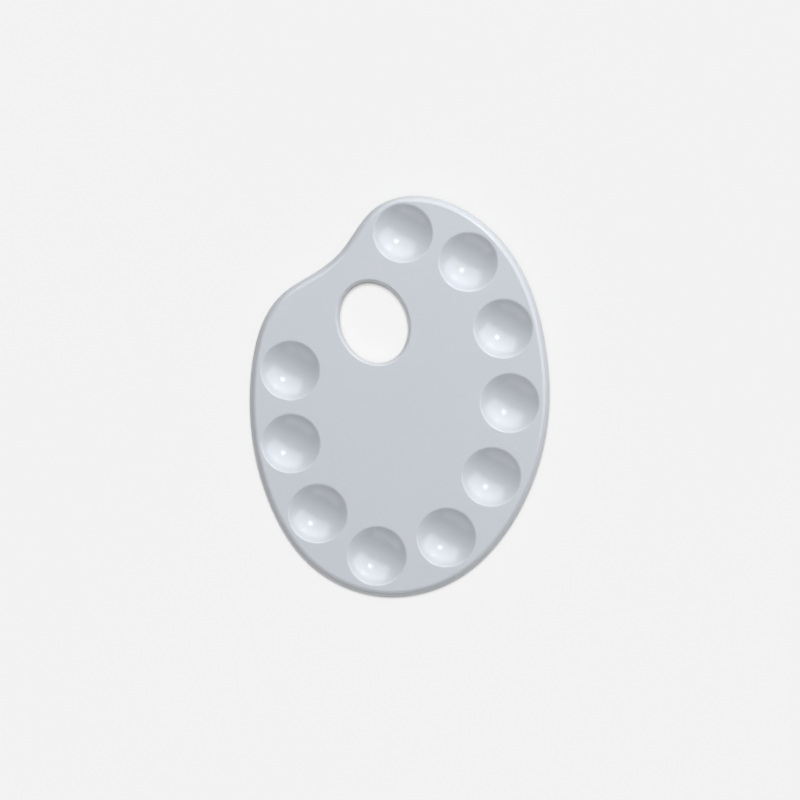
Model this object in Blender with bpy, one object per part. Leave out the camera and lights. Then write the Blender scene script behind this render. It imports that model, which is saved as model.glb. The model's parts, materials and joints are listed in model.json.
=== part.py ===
"""Ten-well mixing palette: one thin-walled plastic moulding with a thumb hole.

Metres, +Z up. The flat mixing face looks up, the long way of the palette lies along Y, and the
origin is under the middle of its bounding box, on the surface that the palette rests on.
"""

import math

import bmesh
import bpy
import numpy as np
from mathutils import Vector

MM = 0.001

# Driving dimensions, in millimetres and degrees.
WALL = 1.4  # thickness of the face and the wells
SKIRT_WALL = 1.0  # the turned-down edges are a little thinner
WELL_DEPTH = 8.0  # below the flat face
WELL_MOUTH_RADIUS = 17.5  # where the rounded edge of a well leaves the flat face
WELL_EDGE_RADIUS = 1.6
FOOT_RADIUS = 3.5  # flat spot under each well, which the palette stands on
SKIRT_DEPTH = 6.0  # the rim and the thumb hole are turned down this far below the flat face
RIM_SHOULDER_RADIUS = 3.0
RIM_INNER_RADIUS = 1.9  # of the same bend on its underside
RIM_FLARE = 19.0  # lean of the skirt away from upright
HOLE_SHOULDER_RADIUS = 1.2
HOLE_FLARE = 11.0
INNER_CORNER_RADIUS = 0.4  # under the flat face, round the thumb hole and the wells
RIM_CLEARANCE = 0.2  # flat face left between a well and the rim where they come closest
RIM_SQUEEZE = 8  # how late and how sharply the rim narrows to keep that clearance

HOLE_CENTRE = (-18.5, 41.5)
HOLE_HALF_WIDTH = 21.3  # to where the flat face ends
HOLE_HALF_LENGTH = 25.8
HOLE_LEAN = 26.0  # its long way leans to the left of +Y

# The outermost edge, anticlockwise from the top: a smooth closed curve runs through these points.
OUTLINE = (
    (6, 116), (-9, 114.5), (-23, 107), (-32, 95), (-41, 80), (-56, 66),
    (-71, 54.5), (-80, 41), (-85, 22), (-86, -1), (-81, -36), (-69, -67.5),
    (-44, -99.5), (0, -114.5), (44, -99), (70, -66.5), (83, -29), (85.5, 3),
    (80, 38.5), (65, 76), (43, 101), (25, 111.5),
)

# The wells' centres lie on one ellipse inside the rim. The angles are those of its own circle.
WELL_PATH_CENTRE = (-0.5, 1.2)
WELL_PATH_HALF_WIDTH = 63.5
WELL_PATH_HALF_LENGTH = 93.0
WELL_ANGLES = (94.7, 58.5, 27.5, 0.5, -27, -58, -94.6, -130, -159.5, 174.4)

# Facets.
OUTLINE_POINTS = 128
HOLE_POINTS = 44
WELL_SEGMENTS = 28
WELL_EDGE_STEPS = 2
BOWL_STEPS = 4
DOME_STEPS = 3
SHOULDER_STEPS = 4
CORNER_STEPS = 2
CURVE_STEPS = 16  # between two outline points, before they are spaced evenly
WELD = 0.001  # points closer than this are one point

# Worked out from the above.
BOWL_RADIUS = (WELL_MOUTH_RADIUS**2 + WELL_DEPTH**2) / (2 * WELL_DEPTH) - WELL_EDGE_RADIUS
DOME_RADIUS = BOWL_RADIUS + WALL
FOOT_CUT = DOME_RADIUS - math.sqrt(DOME_RADIUS**2 - FOOT_RADIUS**2)
FACE = WELL_DEPTH + WALL - FOOT_CUT  # height of the flat face
UNDERSIDE = FACE - WALL
BOWL_CENTRE = FACE - WELL_DEPTH + BOWL_RADIUS


def arc(centre, radius, start, end, steps):
    """Points on an arc in a (run, height) section, angles in radians from the run direction."""
    return [
        (centre[0] + radius * math.cos(a), centre[1] + radius * math.sin(a))
        for a in np.linspace(start, end, steps + 1)
    ]


def closed_curve(points):
    """A dense, curvature-continuous loop: the periodic cubic spline through the points."""
    points = np.array(points, float)
    following = np.roll(points, -1, axis=0)
    span = np.linalg.norm(following - points, axis=1)
    before = np.roll(span, 1)
    count = len(points)
    rows = np.arange(count)
    matrix = np.zeros((count, count))
    matrix[rows, rows - 1] = before
    matrix[rows, rows] = 2 * (before + span)
    matrix[rows, (rows + 1) % count] = span
    slope = (following - points) / span[:, None]
    bend = np.linalg.solve(matrix, 6 * (slope - np.roll(slope, 1, axis=0)))
    loop = []
    for i in range(count):
        j = (i + 1) % count
        t = np.linspace(0, 1, CURVE_STEPS, endpoint=False)[:, None]
        curve = ((1 - t) ** 3 - (1 - t)) * bend[i] + (t**3 - t) * bend[j]
        loop.append((1 - t) * points[i] + t * points[j] + curve * span[i] ** 2 / 6)
    return np.vstack(loop)


def evenly_spaced(loop, count):
    """The same loop with its points at equal distances along it."""
    closed = np.vstack([loop, loop[:1]])
    along = np.r_[0, np.cumsum(np.linalg.norm(np.diff(closed, axis=0), axis=1))]
    wanted = np.linspace(0, along[-1], count, endpoint=False)
    return np.column_stack([np.interp(wanted, along, closed[:, k]) for k in (0, 1)])


def outward(loop):
    """Unit normals of an anticlockwise loop, pointing away from what it encloses."""
    tangent = np.roll(loop, -1, axis=0) - np.roll(loop, 1, axis=0)
    normal = np.column_stack([tangent[:, 1], -tangent[:, 0]])
    return normal / np.linalg.norm(normal, axis=1)[:, None]


def outline():
    """The outermost edge, with the middle of its bounding box at the origin, and the shift."""
    loop = evenly_spaced(closed_curve(OUTLINE), OUTLINE_POINTS)
    middle = (loop.min(axis=0) + loop.max(axis=0)) / 2
    return loop - middle, middle


def thumb_hole_loop(shift):
    """The ellipse where the flat face ends round the thumb hole."""
    angle = np.linspace(0, 2 * math.pi, HOLE_POINTS, endpoint=False)
    x = HOLE_HALF_WIDTH * np.cos(angle)
    y = HOLE_HALF_LENGTH * np.sin(angle)
    lean = math.radians(HOLE_LEAN)
    across = x * math.cos(lean) - y * math.sin(lean)
    along = x * math.sin(lean) + y * math.cos(lean)
    return np.column_stack([across, along]) + np.array(HOLE_CENTRE) - shift


def well_centres(shift):
    angle = np.radians(WELL_ANGLES)
    x = WELL_PATH_CENTRE[0] + WELL_PATH_HALF_WIDTH * np.cos(angle)
    y = WELL_PATH_CENTRE[1] + WELL_PATH_HALF_LENGTH * np.sin(angle)
    return np.column_stack([x, y]) - shift


def rounded(corners, radius, steps):
    """Three corners of a section, the middle one rounded."""
    before, corner, after = [Vector(point) for point in corners]
    back = (before - corner).normalized()
    ahead = (after - corner).normalized()
    half = back.angle(ahead) / 2
    centre = corner + (back + ahead).normalized() * (radius / math.sin(half))
    start = corner + back * (radius / math.tan(half)) - centre
    turn = math.copysign(math.pi - 2 * half, start.y * back.x - start.x * back.y)
    angle = math.atan2(start.y, start.x)
    return [corners[0]] + arc(centre, radius, angle, angle + turn, steps) + [corners[2]]


def lip_section(shoulder_radius, inner_radius, flare):
    """Section of a turned-down edge as (run, height), from the flat face round to the underside."""
    lean = math.radians(flare)
    slope = math.tan(lean)
    bend = math.tan((math.pi / 2 - lean) / 2)
    bottom = FACE - SKIRT_DEPTH
    outer_top = shoulder_radius * bend
    outer_foot = outer_top + SKIRT_DEPTH * slope
    inner_foot = outer_foot - SKIRT_WALL / math.cos(lean)
    inner_top = inner_foot - (SKIRT_DEPTH - WALL) * slope
    end = inner_top - inner_radius * bend
    outer_corners = [(0, FACE), (outer_top, FACE), (outer_foot, bottom)]
    inner_corners = [(inner_foot, bottom), (inner_top, UNDERSIDE), (end, UNDERSIDE)]
    outer = rounded(outer_corners, shoulder_radius, SHOULDER_STEPS)
    inner = rounded(inner_corners, inner_radius, CORNER_STEPS)
    return outer[1:] + inner[:-1]


def rim_squeeze(edge, rim_width, wells):
    """How much of its full width the rim has at each outline point: less where a well is close."""
    apart = np.linalg.norm(edge[:, None] - wells[None], axis=2).min(axis=1)
    room = apart - WELL_MOUTH_RADIUS - RIM_CLEARANCE
    return (1 + (rim_width / room) ** RIM_SQUEEZE) ** (-1 / RIM_SQUEEZE)


def bowl_section():
    """Section of a well's upper skin as (radius, height), from the flat face to its middle."""
    edge_angle = math.asin(WELL_MOUTH_RADIUS / (BOWL_RADIUS + WELL_EDGE_RADIUS))
    edge_centre = (WELL_MOUTH_RADIUS, FACE - WELL_EDGE_RADIUS)
    edge = arc(edge_centre, WELL_EDGE_RADIUS, math.pi / 2, math.pi / 2 + edge_angle, WELL_EDGE_STEPS)
    bowl = arc((0, BOWL_CENTRE), BOWL_RADIUS, edge_angle - math.pi / 2, -math.pi / 2, BOWL_STEPS)
    return edge + bowl[1:]


def dome_section():
    """Section of a well's under skin as (radius, height), from the underside to its foot."""
    distance = DOME_RADIUS + INNER_CORNER_RADIUS
    corner_height = UNDERSIDE - INNER_CORNER_RADIUS
    corner_radius = math.sqrt(distance**2 - (BOWL_CENTRE - corner_height) ** 2)
    edge_angle = math.asin(corner_radius / distance)
    corner_centre = (corner_radius, corner_height)
    corner = arc(corner_centre, INNER_CORNER_RADIUS, math.pi / 2, math.pi / 2 + edge_angle, CORNER_STEPS)
    foot_angle = math.asin(FOOT_RADIUS / DOME_RADIUS)
    dome = arc((0, BOWL_CENTRE), DOME_RADIUS, edge_angle - math.pi / 2, foot_angle - math.pi / 2, DOME_STEPS)
    return corner + dome[1:] + [(0, 0)]


def turn_section(mesh, section, centre):
    """Spin a (radius, height) section about the upright axis through a well's centre."""
    points = [mesh.verts.new((centre[0] + radius, centre[1], height)) for radius, height in section]
    edges = [mesh.edges.new(pair) for pair in zip(points, points[1:])]
    bmesh.ops.spin(
        mesh,
        geom=points + edges,
        cent=(centre[0], centre[1], 0),
        axis=(0, 0, 1),
        angle=2 * math.pi,
        steps=WELL_SEGMENTS,
        use_merge=True,
    )


def ring(mesh, loop, height):
    """One closed loop of points at a height."""
    return [mesh.verts.new((x, y, height)) for x, y in loop]


def sweep_section(mesh, section, loop, directions):
    """Carry a (run, height) section round a loop, each run along and scaled by its direction."""
    rings = [ring(mesh, loop + directions * run, height) for run, height in section]
    for upper, lower in zip(rings, rings[1:]):
        for corners in zip(upper, upper[1:] + upper[:1], lower[1:] + lower[:1], lower):
            mesh.faces.new(corners)


def fill_level(mesh, height):
    """Close a flat face between all the open loops that lie at one height."""
    edges = [
        edge
        for edge in mesh.edges
        if edge.is_boundary and all(abs(vert.co.z - height) < WELD for vert in edge.verts)
    ]
    bmesh.ops.triangle_fill(mesh, edges=edges, normal=Vector((0, 0, 1)), use_beauty=True)


def plastic():
    """White moulded polystyrene, cool and glossy."""
    material = bpy.data.materials.new("white_plastic")
    material.use_nodes = True
    shader = material.node_tree.nodes["Principled BSDF"]
    shader.inputs["Base Color"].default_value = (0.72, 0.75, 0.79, 1)
    shader.inputs["Roughness"].default_value = 0.25
    shader.inputs["Metallic"].default_value = 0
    return material


def palette_mesh():
    mesh = bmesh.new()
    edge, shift = outline()
    wells = well_centres(shift)
    rim = lip_section(RIM_SHOULDER_RADIUS, RIM_INNER_RADIUS, RIM_FLARE)
    rim_width = max(run for run, _ in rim)
    runs = outward(edge) * rim_squeeze(edge, rim_width, wells)[:, None]
    sweep_section(mesh, rim, edge - runs * rim_width, runs)
    hole = thumb_hole_loop(shift)
    hole_lip = lip_section(HOLE_SHOULDER_RADIUS, INNER_CORNER_RADIUS, HOLE_FLARE)
    sweep_section(mesh, hole_lip, hole, -outward(hole))
    for centre in wells:
        turn_section(mesh, bowl_section(), centre)
        turn_section(mesh, dome_section(), centre)
    bmesh.ops.remove_doubles(mesh, verts=mesh.verts, dist=WELD)
    fill_level(mesh, FACE)
    fill_level(mesh, UNDERSIDE)
    bmesh.ops.scale(mesh, vec=(MM, MM, MM), verts=mesh.verts)
    bmesh.ops.recalc_face_normals(mesh, faces=mesh.faces)
    return mesh


def make_palette():
    data = bpy.data.meshes.new("palette_tray")
    mesh = palette_mesh()
    mesh.to_mesh(data)
    mesh.free()
    data.materials.append(plastic())
    data.shade_smooth()
    data.set_sharp_from_angle(angle=math.radians(32))
    bpy.context.scene.collection.objects.link(bpy.data.objects.new("palette_tray", data))


for leftover in list(bpy.data.objects):
    bpy.data.objects.remove(leftover)
make_palette()
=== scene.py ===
import json
import math

import bmesh
import bpy
import numpy as np
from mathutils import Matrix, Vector


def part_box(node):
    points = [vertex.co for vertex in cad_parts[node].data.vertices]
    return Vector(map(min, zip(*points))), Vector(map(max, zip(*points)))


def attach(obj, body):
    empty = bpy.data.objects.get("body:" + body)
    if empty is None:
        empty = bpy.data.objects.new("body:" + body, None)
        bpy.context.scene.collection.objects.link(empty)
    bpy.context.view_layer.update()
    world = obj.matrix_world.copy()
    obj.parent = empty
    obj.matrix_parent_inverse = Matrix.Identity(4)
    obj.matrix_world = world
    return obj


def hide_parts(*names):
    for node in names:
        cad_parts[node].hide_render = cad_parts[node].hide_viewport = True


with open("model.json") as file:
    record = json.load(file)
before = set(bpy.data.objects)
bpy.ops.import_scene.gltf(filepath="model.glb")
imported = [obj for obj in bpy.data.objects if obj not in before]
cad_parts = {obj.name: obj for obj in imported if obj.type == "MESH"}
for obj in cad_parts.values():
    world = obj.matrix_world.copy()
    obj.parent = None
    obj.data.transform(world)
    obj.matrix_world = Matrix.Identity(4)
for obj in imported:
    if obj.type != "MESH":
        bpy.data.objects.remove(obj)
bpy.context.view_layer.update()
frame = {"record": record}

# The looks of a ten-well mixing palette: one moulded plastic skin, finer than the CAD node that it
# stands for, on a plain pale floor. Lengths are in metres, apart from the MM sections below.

MM = 0.001

# The moulding, in millimetres and degrees, as the CAD model has it.
WALL = 1.4
SKIRT_WALL = 1.0
WELL_DEPTH = 8.0
WELL_MOUTH_RADIUS = 17.5
WELL_EDGE_RADIUS = 1.6
FOOT_RADIUS = 3.5
SKIRT_DEPTH = 6.0
RIM_SHOULDER_RADIUS = 3.0
RIM_INNER_RADIUS = 1.9
RIM_FLARE = 19.0
HOLE_SHOULDER_RADIUS = 1.2
HOLE_FLARE = 11.0
INNER_CORNER_RADIUS = 0.4
RIM_CLEARANCE = 0.2
RIM_SQUEEZE = 8
HOLE_CENTRE = (-18.5, 41.5)
HOLE_HALF_WIDTH = 21.3
HOLE_HALF_LENGTH = 25.8
HOLE_LEAN = 26.0
OUTLINE = (
    (6, 116), (-9, 114.5), (-23, 107), (-32, 95), (-41, 80), (-56, 66),
    (-71, 54.5), (-80, 41), (-85, 22), (-86, -1), (-81, -36), (-69, -67.5),
    (-44, -99.5), (0, -114.5), (44, -99), (70, -66.5), (83, -29), (85.5, 3),
    (80, 38.5), (65, 76), (43, 101), (25, 111.5),
)

# Finer than the CAD: the small radii at the foot of the skirts, and the marks of the mould.
FOOT_OUTER_RADIUS = 0.35
FOOT_INNER_RADIUS = 0.25
FLAT_MARGIN = 0.08  # a flat strip round each opening keeps the face's shading flat
UNDER_MARGIN = 0.05
EJECTOR_RADIUS = 3.0
EJECTOR_DEPTH = 0.06
EJECTOR_SLOPE_RUN = 0.06  # the mark's wall leans in by this much
EJECTOR_PLACES = ((20, -44), (-20, -44), (30, 2), (-36, 2), (26, 46), (-52, 41), (6, 66))
GATE_PLACE = (0, -14)
GATE_OUTER_RADIUS = 3.4  # of the flat strip round the dimple
GATE_MOUTH_RADIUS = 3.1
GATE_FLOOR_RADIUS = 2.6
GATE_DEPTH = 0.4
GATE_CORNER_RADIUS = 0.2
STUB_FOOT_RADIUS = 1.15
STUB_TOP_RADIUS = 1.05
STUB_CROWN = 0.05  # how much the snapped stub's edge stands in from its middle
STUB_CORNER_RADIUS = 0.12

OUTLINE_POINTS = 640
HOLE_POINTS = 220
WELL_SEGMENTS = 112
MARK_SEGMENTS = 48
CURVE_STEPS = 48
ARC_STEPS = 8
BOWL_STEPS = 22
DOME_STEPS = 16
GATE_STEPS = 4
LEVEL = 0.001  # heights closer than this are one height
SHARP_ANGLE = math.radians(35)  # edges that turn more than this are shaded as edges

LOW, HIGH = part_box("palette_tray")
FACE = (HIGH.z - LOW.z) / MM
UNDERSIDE = FACE - WALL
BOWL_RADIUS = (WELL_MOUTH_RADIUS**2 + WELL_DEPTH**2) / (2 * WELL_DEPTH) - WELL_EDGE_RADIUS
DOME_RADIUS = BOWL_RADIUS + WALL
BOWL_CENTRE = FACE - WELL_DEPTH + BOWL_RADIUS


def well_centres():
    """The middle of each well, from the record's opening boxes, in millimetres."""
    boxes = [
        opening["box_m"]
        for opening in frame["record"]["physics"]["openings"]
        if opening["name"].startswith("well_")
    ]
    return np.array([[(low[k] + high[k]) / 2 / MM for k in (0, 1)] for low, high in boxes])


def arc(centre, radius, start, end, steps):
    """Points on an arc in a (run, height) section, angles in radians from the run direction."""
    return [
        (centre[0] + radius * math.cos(a), centre[1] + radius * math.sin(a))
        for a in np.linspace(start, end, steps + 1)
    ]


def rounded(corners, radii, steps):
    """A section's corners with each inner one rounded to its radius."""
    corners = [Vector(corner) for corner in corners]
    path = [tuple(corners[0])]
    for before, corner, after, radius in zip(corners, corners[1:], corners[2:], radii):
        back = (before - corner).normalized()
        ahead = (after - corner).normalized()
        half = math.acos(max(-1, min(1, back.dot(ahead)))) / 2
        centre = corner + (back + ahead).normalized() * (radius / math.sin(half))
        start = corner + back * (radius / math.tan(half)) - centre
        turn = math.copysign(math.pi - 2 * half, start.y * back.x - start.x * back.y)
        angle = math.atan2(start.y, start.x)
        path += arc(centre, radius, angle, angle + turn, steps)
    return path + [tuple(corners[-1])]


def closed_curve(points):
    """A dense, curvature-continuous loop: the periodic cubic spline through the points."""
    points = np.array(points, float)
    following = np.roll(points, -1, axis=0)
    span = np.linalg.norm(following - points, axis=1)
    before = np.roll(span, 1)
    count = len(points)
    rows = np.arange(count)
    matrix = np.zeros((count, count))
    matrix[rows, rows - 1] = before
    matrix[rows, rows] = 2 * (before + span)
    matrix[rows, (rows + 1) % count] = span
    slope = (following - points) / span[:, None]
    bend = np.linalg.solve(matrix, 6 * (slope - np.roll(slope, 1, axis=0)))
    loop = []
    for i in range(count):
        j = (i + 1) % count
        t = np.linspace(0, 1, CURVE_STEPS, endpoint=False)[:, None]
        curve = ((1 - t) ** 3 - (1 - t)) * bend[i] + (t**3 - t) * bend[j]
        loop.append((1 - t) * points[i] + t * points[j] + curve * span[i] ** 2 / 6)
    return np.vstack(loop)


def evenly_spaced(loop, count):
    """The same loop with its points at equal distances along it."""
    closed = np.vstack([loop, loop[:1]])
    along = np.r_[0, np.cumsum(np.linalg.norm(np.diff(closed, axis=0), axis=1))]
    wanted = np.linspace(0, along[-1], count, endpoint=False)
    return np.column_stack([np.interp(wanted, along, closed[:, k]) for k in (0, 1)])


def outward(loop):
    """Unit normals of an anticlockwise loop, pointing away from what it encloses."""
    tangent = np.roll(loop, -1, axis=0) - np.roll(loop, 1, axis=0)
    normal = np.column_stack([tangent[:, 1], -tangent[:, 0]])
    return normal / np.linalg.norm(normal, axis=1)[:, None]


def outline():
    """The outermost edge in the CAD's place, and the shift that takes the design there."""
    loop = evenly_spaced(closed_curve(OUTLINE), OUTLINE_POINTS)
    cad_middle = np.array([LOW.x + HIGH.x, LOW.y + HIGH.y]) / 2 / MM
    shift = (loop.min(axis=0) + loop.max(axis=0)) / 2 - cad_middle
    return loop - shift, shift


def thumb_hole_loop(shift):
    """The ellipse where the flat face ends round the thumb hole."""
    angle = np.linspace(0, 2 * math.pi, HOLE_POINTS, endpoint=False)
    x = HOLE_HALF_WIDTH * np.cos(angle)
    y = HOLE_HALF_LENGTH * np.sin(angle)
    lean = math.radians(HOLE_LEAN)
    across = x * math.cos(lean) - y * math.sin(lean)
    along = x * math.sin(lean) + y * math.cos(lean)
    return np.column_stack([across, along]) + np.array(HOLE_CENTRE) - shift


def lip_section(shoulder_radius, inner_radius, flare):
    """Section of a turned-down edge as (run, height), from the flat face round to the underside."""
    lean = math.radians(flare)
    slope = math.tan(lean)
    bend = math.tan((math.pi / 2 - lean) / 2)
    bottom = FACE - SKIRT_DEPTH
    outer_top = shoulder_radius * bend
    outer_foot = outer_top + SKIRT_DEPTH * slope
    inner_foot = outer_foot - SKIRT_WALL / math.cos(lean)
    inner_top = inner_foot - (SKIRT_DEPTH - WALL) * slope
    corners = [
        (-FLAT_MARGIN, FACE),
        (outer_top, FACE),
        (outer_foot, bottom),
        (inner_foot, bottom),
        (inner_top, UNDERSIDE),
        (inner_top - inner_radius * bend - UNDER_MARGIN, UNDERSIDE),
    ]
    radii = (shoulder_radius, FOOT_OUTER_RADIUS, FOOT_INNER_RADIUS, inner_radius)
    return rounded(corners, radii, ARC_STEPS)


def rim_squeeze(edge, rim_width, wells):
    """How much of its full width the rim has at each outline point: less where a well is close."""
    apart = np.linalg.norm(edge[:, None] - wells[None], axis=2).min(axis=1)
    room = apart - WELL_MOUTH_RADIUS - RIM_CLEARANCE
    return (1 + (rim_width / room) ** RIM_SQUEEZE) ** (-1 / RIM_SQUEEZE)


def bowl_section():
    """Section of a well's upper skin as (radius, height), from the flat face to its middle."""
    edge_angle = math.asin(WELL_MOUTH_RADIUS / (BOWL_RADIUS + WELL_EDGE_RADIUS))
    edge_centre = (WELL_MOUTH_RADIUS, FACE - WELL_EDGE_RADIUS)
    edge = arc(edge_centre, WELL_EDGE_RADIUS, math.pi / 2, math.pi / 2 + edge_angle, ARC_STEPS)
    bowl = arc((0, BOWL_CENTRE), BOWL_RADIUS, edge_angle - math.pi / 2, -math.pi / 2, BOWL_STEPS)
    return [(WELL_MOUTH_RADIUS + FLAT_MARGIN, FACE)] + edge + bowl[1:]


def dome_section():
    """Section of a well's under skin as (radius, height), from the underside to its foot."""
    distance = DOME_RADIUS + INNER_CORNER_RADIUS
    corner_height = UNDERSIDE - INNER_CORNER_RADIUS
    corner_radius = math.sqrt(distance**2 - (BOWL_CENTRE - corner_height) ** 2)
    edge_angle = math.asin(corner_radius / distance)
    corner_centre = (corner_radius, corner_height)
    corner_end = math.pi / 2 + edge_angle
    corner = arc(corner_centre, INNER_CORNER_RADIUS, math.pi / 2, corner_end, ARC_STEPS)
    foot_angle = math.asin(FOOT_RADIUS / DOME_RADIUS)
    dome_start = edge_angle - math.pi / 2
    dome_end = foot_angle - math.pi / 2
    dome = arc((0, BOWL_CENTRE), DOME_RADIUS, dome_start, dome_end, DOME_STEPS)
    foot = [(FOOT_RADIUS - UNDER_MARGIN, 0), (0, 0)]
    return [(corner_radius + UNDER_MARGIN, UNDERSIDE)] + corner + dome[1:] + foot


def ejector_section():
    """A shallow round mark that a mould's ejector pin leaves in the underside."""
    level = UNDERSIDE + EJECTOR_DEPTH
    floor_radius = EJECTOR_RADIUS - EJECTOR_SLOPE_RUN
    return [
        (EJECTOR_RADIUS + UNDER_MARGIN, UNDERSIDE),
        (EJECTOR_RADIUS, UNDERSIDE),
        (floor_radius, level),
        (floor_radius - UNDER_MARGIN, level),
        (0, level),
    ]


def gate_section():
    """The dimple in the underside where the plastic went in, with the stub snapped off level."""
    level = UNDERSIDE + GATE_DEPTH
    corners = [
        (GATE_OUTER_RADIUS, UNDERSIDE),
        (GATE_MOUTH_RADIUS, UNDERSIDE),
        (GATE_FLOOR_RADIUS, level),
        (STUB_FOOT_RADIUS, level),
        (STUB_TOP_RADIUS, UNDERSIDE + STUB_CROWN),
        (0, UNDERSIDE),
    ]
    radii = (GATE_CORNER_RADIUS, GATE_CORNER_RADIUS, GATE_CORNER_RADIUS, STUB_CORNER_RADIUS)
    return rounded(corners, radii, GATE_STEPS)


def ring(mesh, loop, height):
    """One closed loop of points at a height."""
    return [mesh.verts.new((x, y, height)) for x, y in loop]


def join_rings(mesh, rings):
    """A skin of four-cornered faces from each ring to the next."""
    for upper, lower in zip(rings, rings[1:]):
        for corners in zip(upper, upper[1:] + upper[:1], lower[1:] + lower[:1], lower):
            mesh.faces.new(corners)


def turn_section(mesh, section, centre, segments):
    """Turn a (radius, height) section that ends in the middle about the upright axis there."""
    angle = np.linspace(0, 2 * math.pi, segments, endpoint=False)
    spokes = np.column_stack([np.cos(angle), np.sin(angle)])
    rings = [ring(mesh, spokes * radius + centre, height) for radius, height in section[:-1]]
    join_rings(mesh, rings)
    middle = mesh.verts.new((*centre, section[-1][1]))
    for pair in zip(rings[-1], rings[-1][1:] + rings[-1][:1]):
        mesh.faces.new((*pair, middle))


def sweep_section(mesh, section, loop, directions):
    """Carry a (run, height) section round a loop, each run along and scaled by its direction."""
    join_rings(mesh, [ring(mesh, loop + directions * run, height) for run, height in section])


def fill_level(mesh, height):
    """Close a flat face between all the open loops that lie at one height."""
    edges = [
        edge
        for edge in mesh.edges
        if edge.is_boundary and all(abs(vert.co.z - height) < LEVEL for vert in edge.verts)
    ]
    bmesh.ops.triangle_fill(mesh, edges=edges, normal=Vector((0, 0, 1)), use_beauty=True)


def palette_mesh():
    """The whole moulding as one closed skin, in metres."""
    mesh = bmesh.new()
    edge, shift = outline()
    wells = well_centres()
    rim = lip_section(RIM_SHOULDER_RADIUS, RIM_INNER_RADIUS, RIM_FLARE)
    rim_width = max(run for run, _ in rim)
    runs = outward(edge) * rim_squeeze(edge, rim_width, wells)[:, None]
    sweep_section(mesh, rim, edge - runs * rim_width, runs)
    hole = thumb_hole_loop(shift)
    hole_lip = lip_section(HOLE_SHOULDER_RADIUS, INNER_CORNER_RADIUS, HOLE_FLARE)
    sweep_section(mesh, hole_lip, hole, -outward(hole))
    for centre in wells:
        turn_section(mesh, bowl_section(), centre, WELL_SEGMENTS)
        turn_section(mesh, dome_section(), centre, WELL_SEGMENTS)
    for place in EJECTOR_PLACES:
        turn_section(mesh, ejector_section(), place, MARK_SEGMENTS)
    turn_section(mesh, gate_section(), GATE_PLACE, MARK_SEGMENTS)
    fill_level(mesh, FACE)
    fill_level(mesh, UNDERSIDE)
    bmesh.ops.scale(mesh, vec=(MM, MM, MM), verts=mesh.verts)
    bmesh.ops.recalc_face_normals(mesh, faces=mesh.faces)
    return mesh


class Nodes:
    """A material's node tree, with short calls to add and join nodes."""

    def __init__(self, name):
        self.material = bpy.data.materials.new(name)
        self.material.use_nodes = True
        self.tree = self.material.node_tree
        self.shader = self.tree.nodes["Principled BSDF"]
        self.place = self.add("ShaderNodeTexCoord").outputs["Object"]

    def add(self, kind, **settings):
        node = self.tree.nodes.new(kind)
        for name, value in settings.items():
            setattr(node, name, value)
        return node

    def join(self, source, target):
        self.tree.links.new(source, target)

    def noise(self, scale, detail, roughness, distortion=0.0, stretch=(1, 1, 1), turn=0.0):
        """Noise over the object, stretched, and turned about the upright axis by an angle."""
        mapping = self.add("ShaderNodeMapping")
        mapping.inputs["Scale"].default_value = stretch
        mapping.inputs["Rotation"].default_value = (0, 0, turn)
        self.join(self.place, mapping.inputs["Vector"])
        texture = self.add("ShaderNodeTexNoise")
        texture.inputs["Scale"].default_value = scale
        texture.inputs["Detail"].default_value = detail
        texture.inputs["Roughness"].default_value = roughness
        texture.inputs["Distortion"].default_value = distortion
        self.join(mapping.outputs["Vector"], texture.inputs["Vector"])
        return texture.outputs["Fac"]

    def ramp(self, source, low, high, to_low=0.0, to_high=1.0):
        """A smooth step from to_low to to_high while the source goes from low to high."""
        node = self.add("ShaderNodeMapRange", interpolation_type="SMOOTHSTEP")
        node.inputs["From Min"].default_value = low
        node.inputs["From Max"].default_value = high
        node.inputs["To Min"].default_value = to_low
        node.inputs["To Max"].default_value = to_high
        self.join(source, node.inputs["Value"])
        return node.outputs["Result"]

    def maths(self, operation, first, second=0.0):
        node = self.add("ShaderNodeMath", operation=operation)
        for socket, value in zip(node.inputs, (first, second)):
            if isinstance(value, (int, float)):
                socket.default_value = value
            else:
                self.join(value, socket)
        return node.outputs["Value"]

    def mix(self, amount, first, second):
        """A colour between two, each a plain colour or another node's."""
        node = self.add("ShaderNodeMix", data_type="RGBA")
        self.join(amount, node.inputs["Factor"])
        for name, value in (("A", first), ("B", second)):
            socket = [s for s in node.inputs if s.name == name and s.type == "RGBA"][0]
            if isinstance(value, tuple):
                socket.default_value = (*value, 1)
            else:
                self.join(value, socket)
        return [s for s in node.outputs if s.type == "RGBA"][0]

    def bump(self, height, depth, normal=None):
        """Relief of a depth in metres, on top of an earlier relief where one is given."""
        node = self.add("ShaderNodeBump")
        node.inputs["Strength"].default_value = 1.0
        node.inputs["Distance"].default_value = depth
        self.join(height, node.inputs["Height"])
        if normal is not None:
            self.join(normal, node.inputs["Normal"])
        return node.outputs["Normal"]


# The plastic's colours, how many times its patterns repeat to a metre, and its relief in metres.
PLASTIC = (0.604, 0.636, 0.679)
PLASTIC_COOL = (0.598, 0.632, 0.678)
PLASTIC_WORN = (0.616, 0.646, 0.685)
PLASTIC_IOR = 1.55
FLOW_SCALE = 9
CLOUD_SCALE = 38
SMUDGE_SCALE = 55
GRAIN_SCALE = 1500
RIPPLE_SCALE = 30
FINE_SCALE = 420
SCUFF_SCALE = 60
SCUFF_PATCH_SCALE = 24
SCUFF_WIDTH = 0.012
SCUFF_TURNS = ((0.6, 16.0), (-0.9, 13.0))  # the direction of each set, and how far it is drawn out
CLOUD_TINT = 0.5
SCUFF_TINT = 0.2
POLISHED = 0.12
SMUDGED = 0.17
SCUFF_ROUGHNESS = 0.14
GRAIN_ROUGHNESS = 0.02
RIPPLE_DEPTH = 0.00003
FINE_DEPTH = 0.000004
SCUFF_DEPTH = 0.000004


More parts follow.
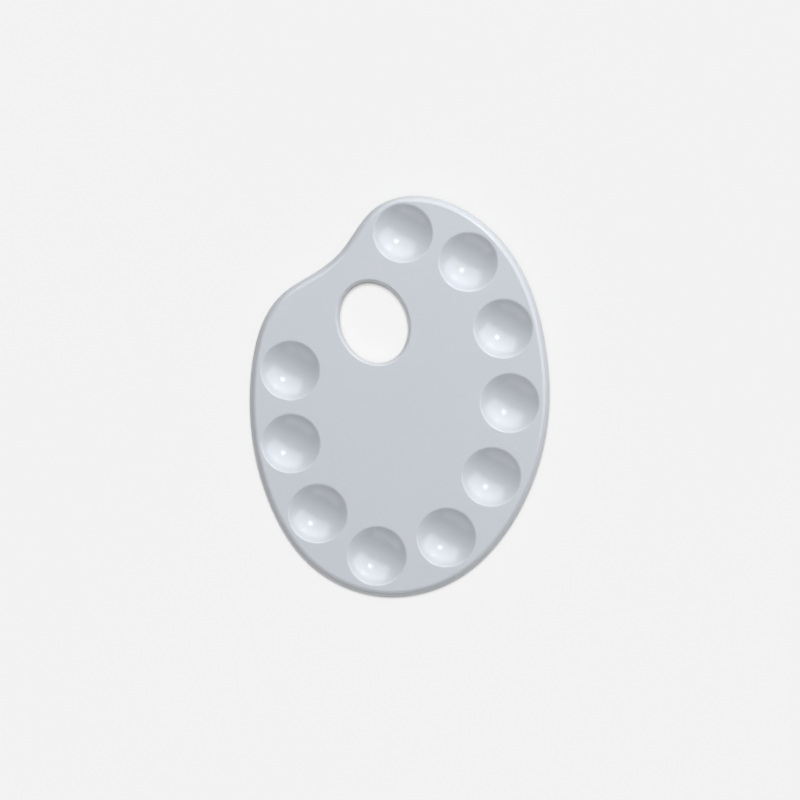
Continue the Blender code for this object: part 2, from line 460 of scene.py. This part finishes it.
def scratches(nodes, turn, stretch):
    """Very fine straight scuffs in one direction: thin ridges of a stretched noise, in patches."""
    line = nodes.noise(SCUFF_SCALE, 3.0, 0.6, 0.0, (1.0, stretch, 1.0), turn)
    ridge = nodes.maths("ABSOLUTE", nodes.maths("SUBTRACT", line, 0.5))
    patch = nodes.noise(SCUFF_PATCH_SCALE, 2.0, 0.5, 0.4)
    thin = nodes.ramp(ridge, 0.0, SCUFF_WIDTH, 1.0, 0.0)
    return nodes.maths("MULTIPLY", thin, nodes.ramp(patch, 0.48, 0.62))


def plastic_material():
    """Glossy white polystyrene: faint flow marks, handling smudges, scuffs and a soft ripple."""
    nodes = Nodes("white_plastic")
    shader = nodes.shader
    flow = nodes.noise(FLOW_SCALE, 3.0, 0.55, 1.6, (1.0, 0.45, 1.0), 0.5)
    cloud = nodes.noise(CLOUD_SCALE, 3.0, 0.6, 0.6)
    smudge = nodes.noise(SMUDGE_SCALE, 4.0, 0.62, 1.0)
    grain = nodes.noise(GRAIN_SCALE, 2.0, 0.5)
    scuffs = nodes.maths("MAXIMUM", *(scratches(nodes, *scuff_set) for scuff_set in SCUFF_TURNS))
    tint = nodes.mix(nodes.ramp(flow, 0.35, 0.65), PLASTIC, PLASTIC_COOL)
    tint = nodes.mix(nodes.ramp(cloud, 0.52, 0.75, 0.0, CLOUD_TINT), tint, PLASTIC_WORN)
    tint = nodes.mix(nodes.maths("MULTIPLY", scuffs, SCUFF_TINT), tint, PLASTIC_WORN)
    nodes.join(tint, shader.inputs["Base Color"])
    rough = nodes.ramp(smudge, 0.35, 0.7, POLISHED, SMUDGED)
    for pattern, amount in ((scuffs, SCUFF_ROUGHNESS), (grain, GRAIN_ROUGHNESS)):
        rough = nodes.maths("ADD", rough, nodes.maths("MULTIPLY", pattern, amount))
    nodes.join(rough, shader.inputs["Roughness"])
    normal = nodes.bump(nodes.noise(RIPPLE_SCALE, 1.0, 0.4), RIPPLE_DEPTH)
    normal = nodes.bump(nodes.noise(FINE_SCALE, 2.0, 0.5), FINE_DEPTH, normal)
    normal = nodes.bump(nodes.maths("SUBTRACT", 1.0, scuffs), SCUFF_DEPTH, normal)
    nodes.join(normal, shader.inputs["Normal"])
    shader.inputs["IOR"].default_value = PLASTIC_IOR
    return nodes.material


def make_palette():
    """The visible palette, in place of the CAD's plain tray."""
    data = bpy.data.meshes.new("palette_moulding")
    mesh = palette_mesh()
    mesh.to_mesh(data)
    mesh.free()
    data.materials.append(plastic_material())
    data.shade_smooth()
    data.set_sharp_from_angle(angle=SHARP_ANGLE)
    palette = bpy.data.objects.new("palette_moulding", data)
    bpy.context.scene.collection.objects.link(palette)
    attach(palette, "root")
    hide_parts("palette_tray")
    return palette


FLOOR_HALF = 4.0
FLOOR_GAP = 0.00002  # keeps the floor's surface from lying in the wells' feet
FLOOR_DARK = (0.499, 0.499, 0.499)
FLOOR_LIGHT = (0.501, 0.501, 0.501)
FLOOR_ROUGHNESS = 0.9
FLOOR_SPECULAR = 0.1
FLOOR_MOTTLE_SCALE = 3


def make_floor():
    """A plain pale floor that the palette stands on."""
    data = bpy.data.meshes.new("floor")
    mesh = bmesh.new()
    height = LOW.z - FLOOR_GAP
    corners = [(-1, -1), (1, -1), (1, 1), (-1, 1)]
    mesh.faces.new(ring(mesh, [(x * FLOOR_HALF, y * FLOOR_HALF) for x, y in corners], height))
    mesh.to_mesh(data)
    mesh.free()
    nodes = Nodes("pale_floor")
    mottle = nodes.ramp(nodes.noise(FLOOR_MOTTLE_SCALE, 3.0, 0.5), 0.3, 0.7)
    nodes.join(nodes.mix(mottle, FLOOR_DARK, FLOOR_LIGHT), nodes.shader.inputs["Base Color"])
    nodes.shader.inputs["Roughness"].default_value = FLOOR_ROUGHNESS
    nodes.shader.inputs["Specular IOR Level"].default_value = FLOOR_SPECULAR
    data.materials.append(nodes.material)
    floor = bpy.data.objects.new("floor", data)
    bpy.context.scene.collection.objects.link(floor)
    floor.visible_diffuse = False  # no light comes back up from it, so the rim's skirt stays dark
    return floor


CAMERA_ROLL = math.radians(4.7)  # the palette stands leaning a little to the right in the view
CAMERA_TARGET = (0.0005, -0.0023)
CAMERA_HEIGHT = 2.5
VIEW_WIDTH = 0.4589  # what the frame spans at the rim's foot
SENSOR_WIDTH = 36
CLIP_END = 50


def make_camera():
    """A long lens straight above the palette."""
    data = bpy.data.cameras.new("camera")
    rim_foot = HIGH.z - SKIRT_DEPTH * MM
    data.sensor_width = SENSOR_WIDTH
    data.lens = SENSOR_WIDTH * (CAMERA_HEIGHT - rim_foot) / VIEW_WIDTH
    data.clip_end = CLIP_END
    camera = bpy.data.objects.new("camera", data)
    camera.location = (*CAMERA_TARGET, CAMERA_HEIGHT)
    camera.rotation_euler = (0, 0, CAMERA_ROLL)
    bpy.context.scene.collection.objects.link(camera)
    bpy.context.scene.camera = camera


def direction(azimuth, zenith):
    """Unit vector to a light: azimuth in degrees from the view's right, zenith from straight up."""
    turn = math.radians(azimuth) + CAMERA_ROLL
    tilt = math.radians(zenith)
    return Vector((math.sin(tilt) * math.cos(turn), math.sin(tilt) * math.sin(turn), math.cos(tilt)))


# Angles in degrees, sizes in metres, powers in watts.
LIGHT_DISTANCE = 2.0
WINDOW = {"azimuth": 61, "zenith": 45, "width": 5.6, "height": 2.55, "power": 95.0}
FAR_WALL = {"azimuth": 240, "zenith": 79, "width": 3.0, "height": 1.6, "power": 19.0}
LAMP_HIGH = {"azimuth": 53, "zenith": 35, "size": 0.46, "power": 4.2}
LAMP_LOW = {"azimuth": 50, "zenith": 69, "size": 0.4, "power": 0.9}
SUN_AZIMUTH = 100
SUN_ZENITH = 9
SUN_STRENGTH = 5.33
SUN_SPREAD = math.radians(32)  # wide, for a soft edge to the palette's shadow
ROOM_COLOUR = (0.985, 0.99, 1.0, 1)
ROOM_STRENGTH = 0.1


def aimed(name, data, azimuth, zenith):
    """Put a light where its angles say and turn it to face the middle of the part."""
    light = bpy.data.objects.new(name, data)
    toward = direction(azimuth, zenith)
    light.location = toward * LIGHT_DISTANCE
    light.rotation_euler = toward.to_track_quat("Z", "Y").to_euler()
    bpy.context.scene.collection.objects.link(light)
    return light


def panel(name, azimuth, zenith, width, height, power):
    """A soft box: an evenly bright rectangle."""
    data = bpy.data.lights.new(name, "AREA")
    data.shape = "RECTANGLE"
    data.size = width
    data.size_y = height
    data.energy = power
    return aimed(name, data, azimuth, zenith)


def lamp(name, azimuth, zenith, size, power):
    """A small round lamp, which shows as a spot in each well."""
    data = bpy.data.lights.new(name, "AREA")
    data.shape = "DISK"
    data.size = size
    data.energy = power
    return aimed(name, data, azimuth, zenith)


def only_lights(light, piece):
    """Keep a light on one piece, so that the palette's lights throw no wide shadow on the floor."""
    lit = bpy.data.collections.new(light.name + "_lights")
    lit.objects.link(piece)
    light.light_linking.receiver_collection = lit


def make_lights(palette, floor):
    """A soft room, four lights that reach only the palette, and one that reaches only the floor."""
    world = bpy.data.worlds.new("soft_room")
    world.use_nodes = True
    background = world.node_tree.nodes["Background"]
    background.inputs["Color"].default_value = ROOM_COLOUR
    background.inputs["Strength"].default_value = ROOM_STRENGTH
    bpy.context.scene.world = world
    only_lights(panel("window", **WINDOW), palette)
    only_lights(panel("far_wall", **FAR_WALL), palette)
    only_lights(lamp("lamp_high", **LAMP_HIGH), palette)
    only_lights(lamp("lamp_low", **LAMP_LOW), palette)
    sun = bpy.data.lights.new("floor_light", "SUN")
    sun.energy = SUN_STRENGTH
    sun.angle = SUN_SPREAD
    only_lights(aimed("floor_light", sun, SUN_AZIMUTH, SUN_ZENITH), floor)


palette = make_palette()
floor = make_floor()
make_camera()
make_lights(palette, floor)
bpy.context.scene.view_settings.view_transform = "Standard"
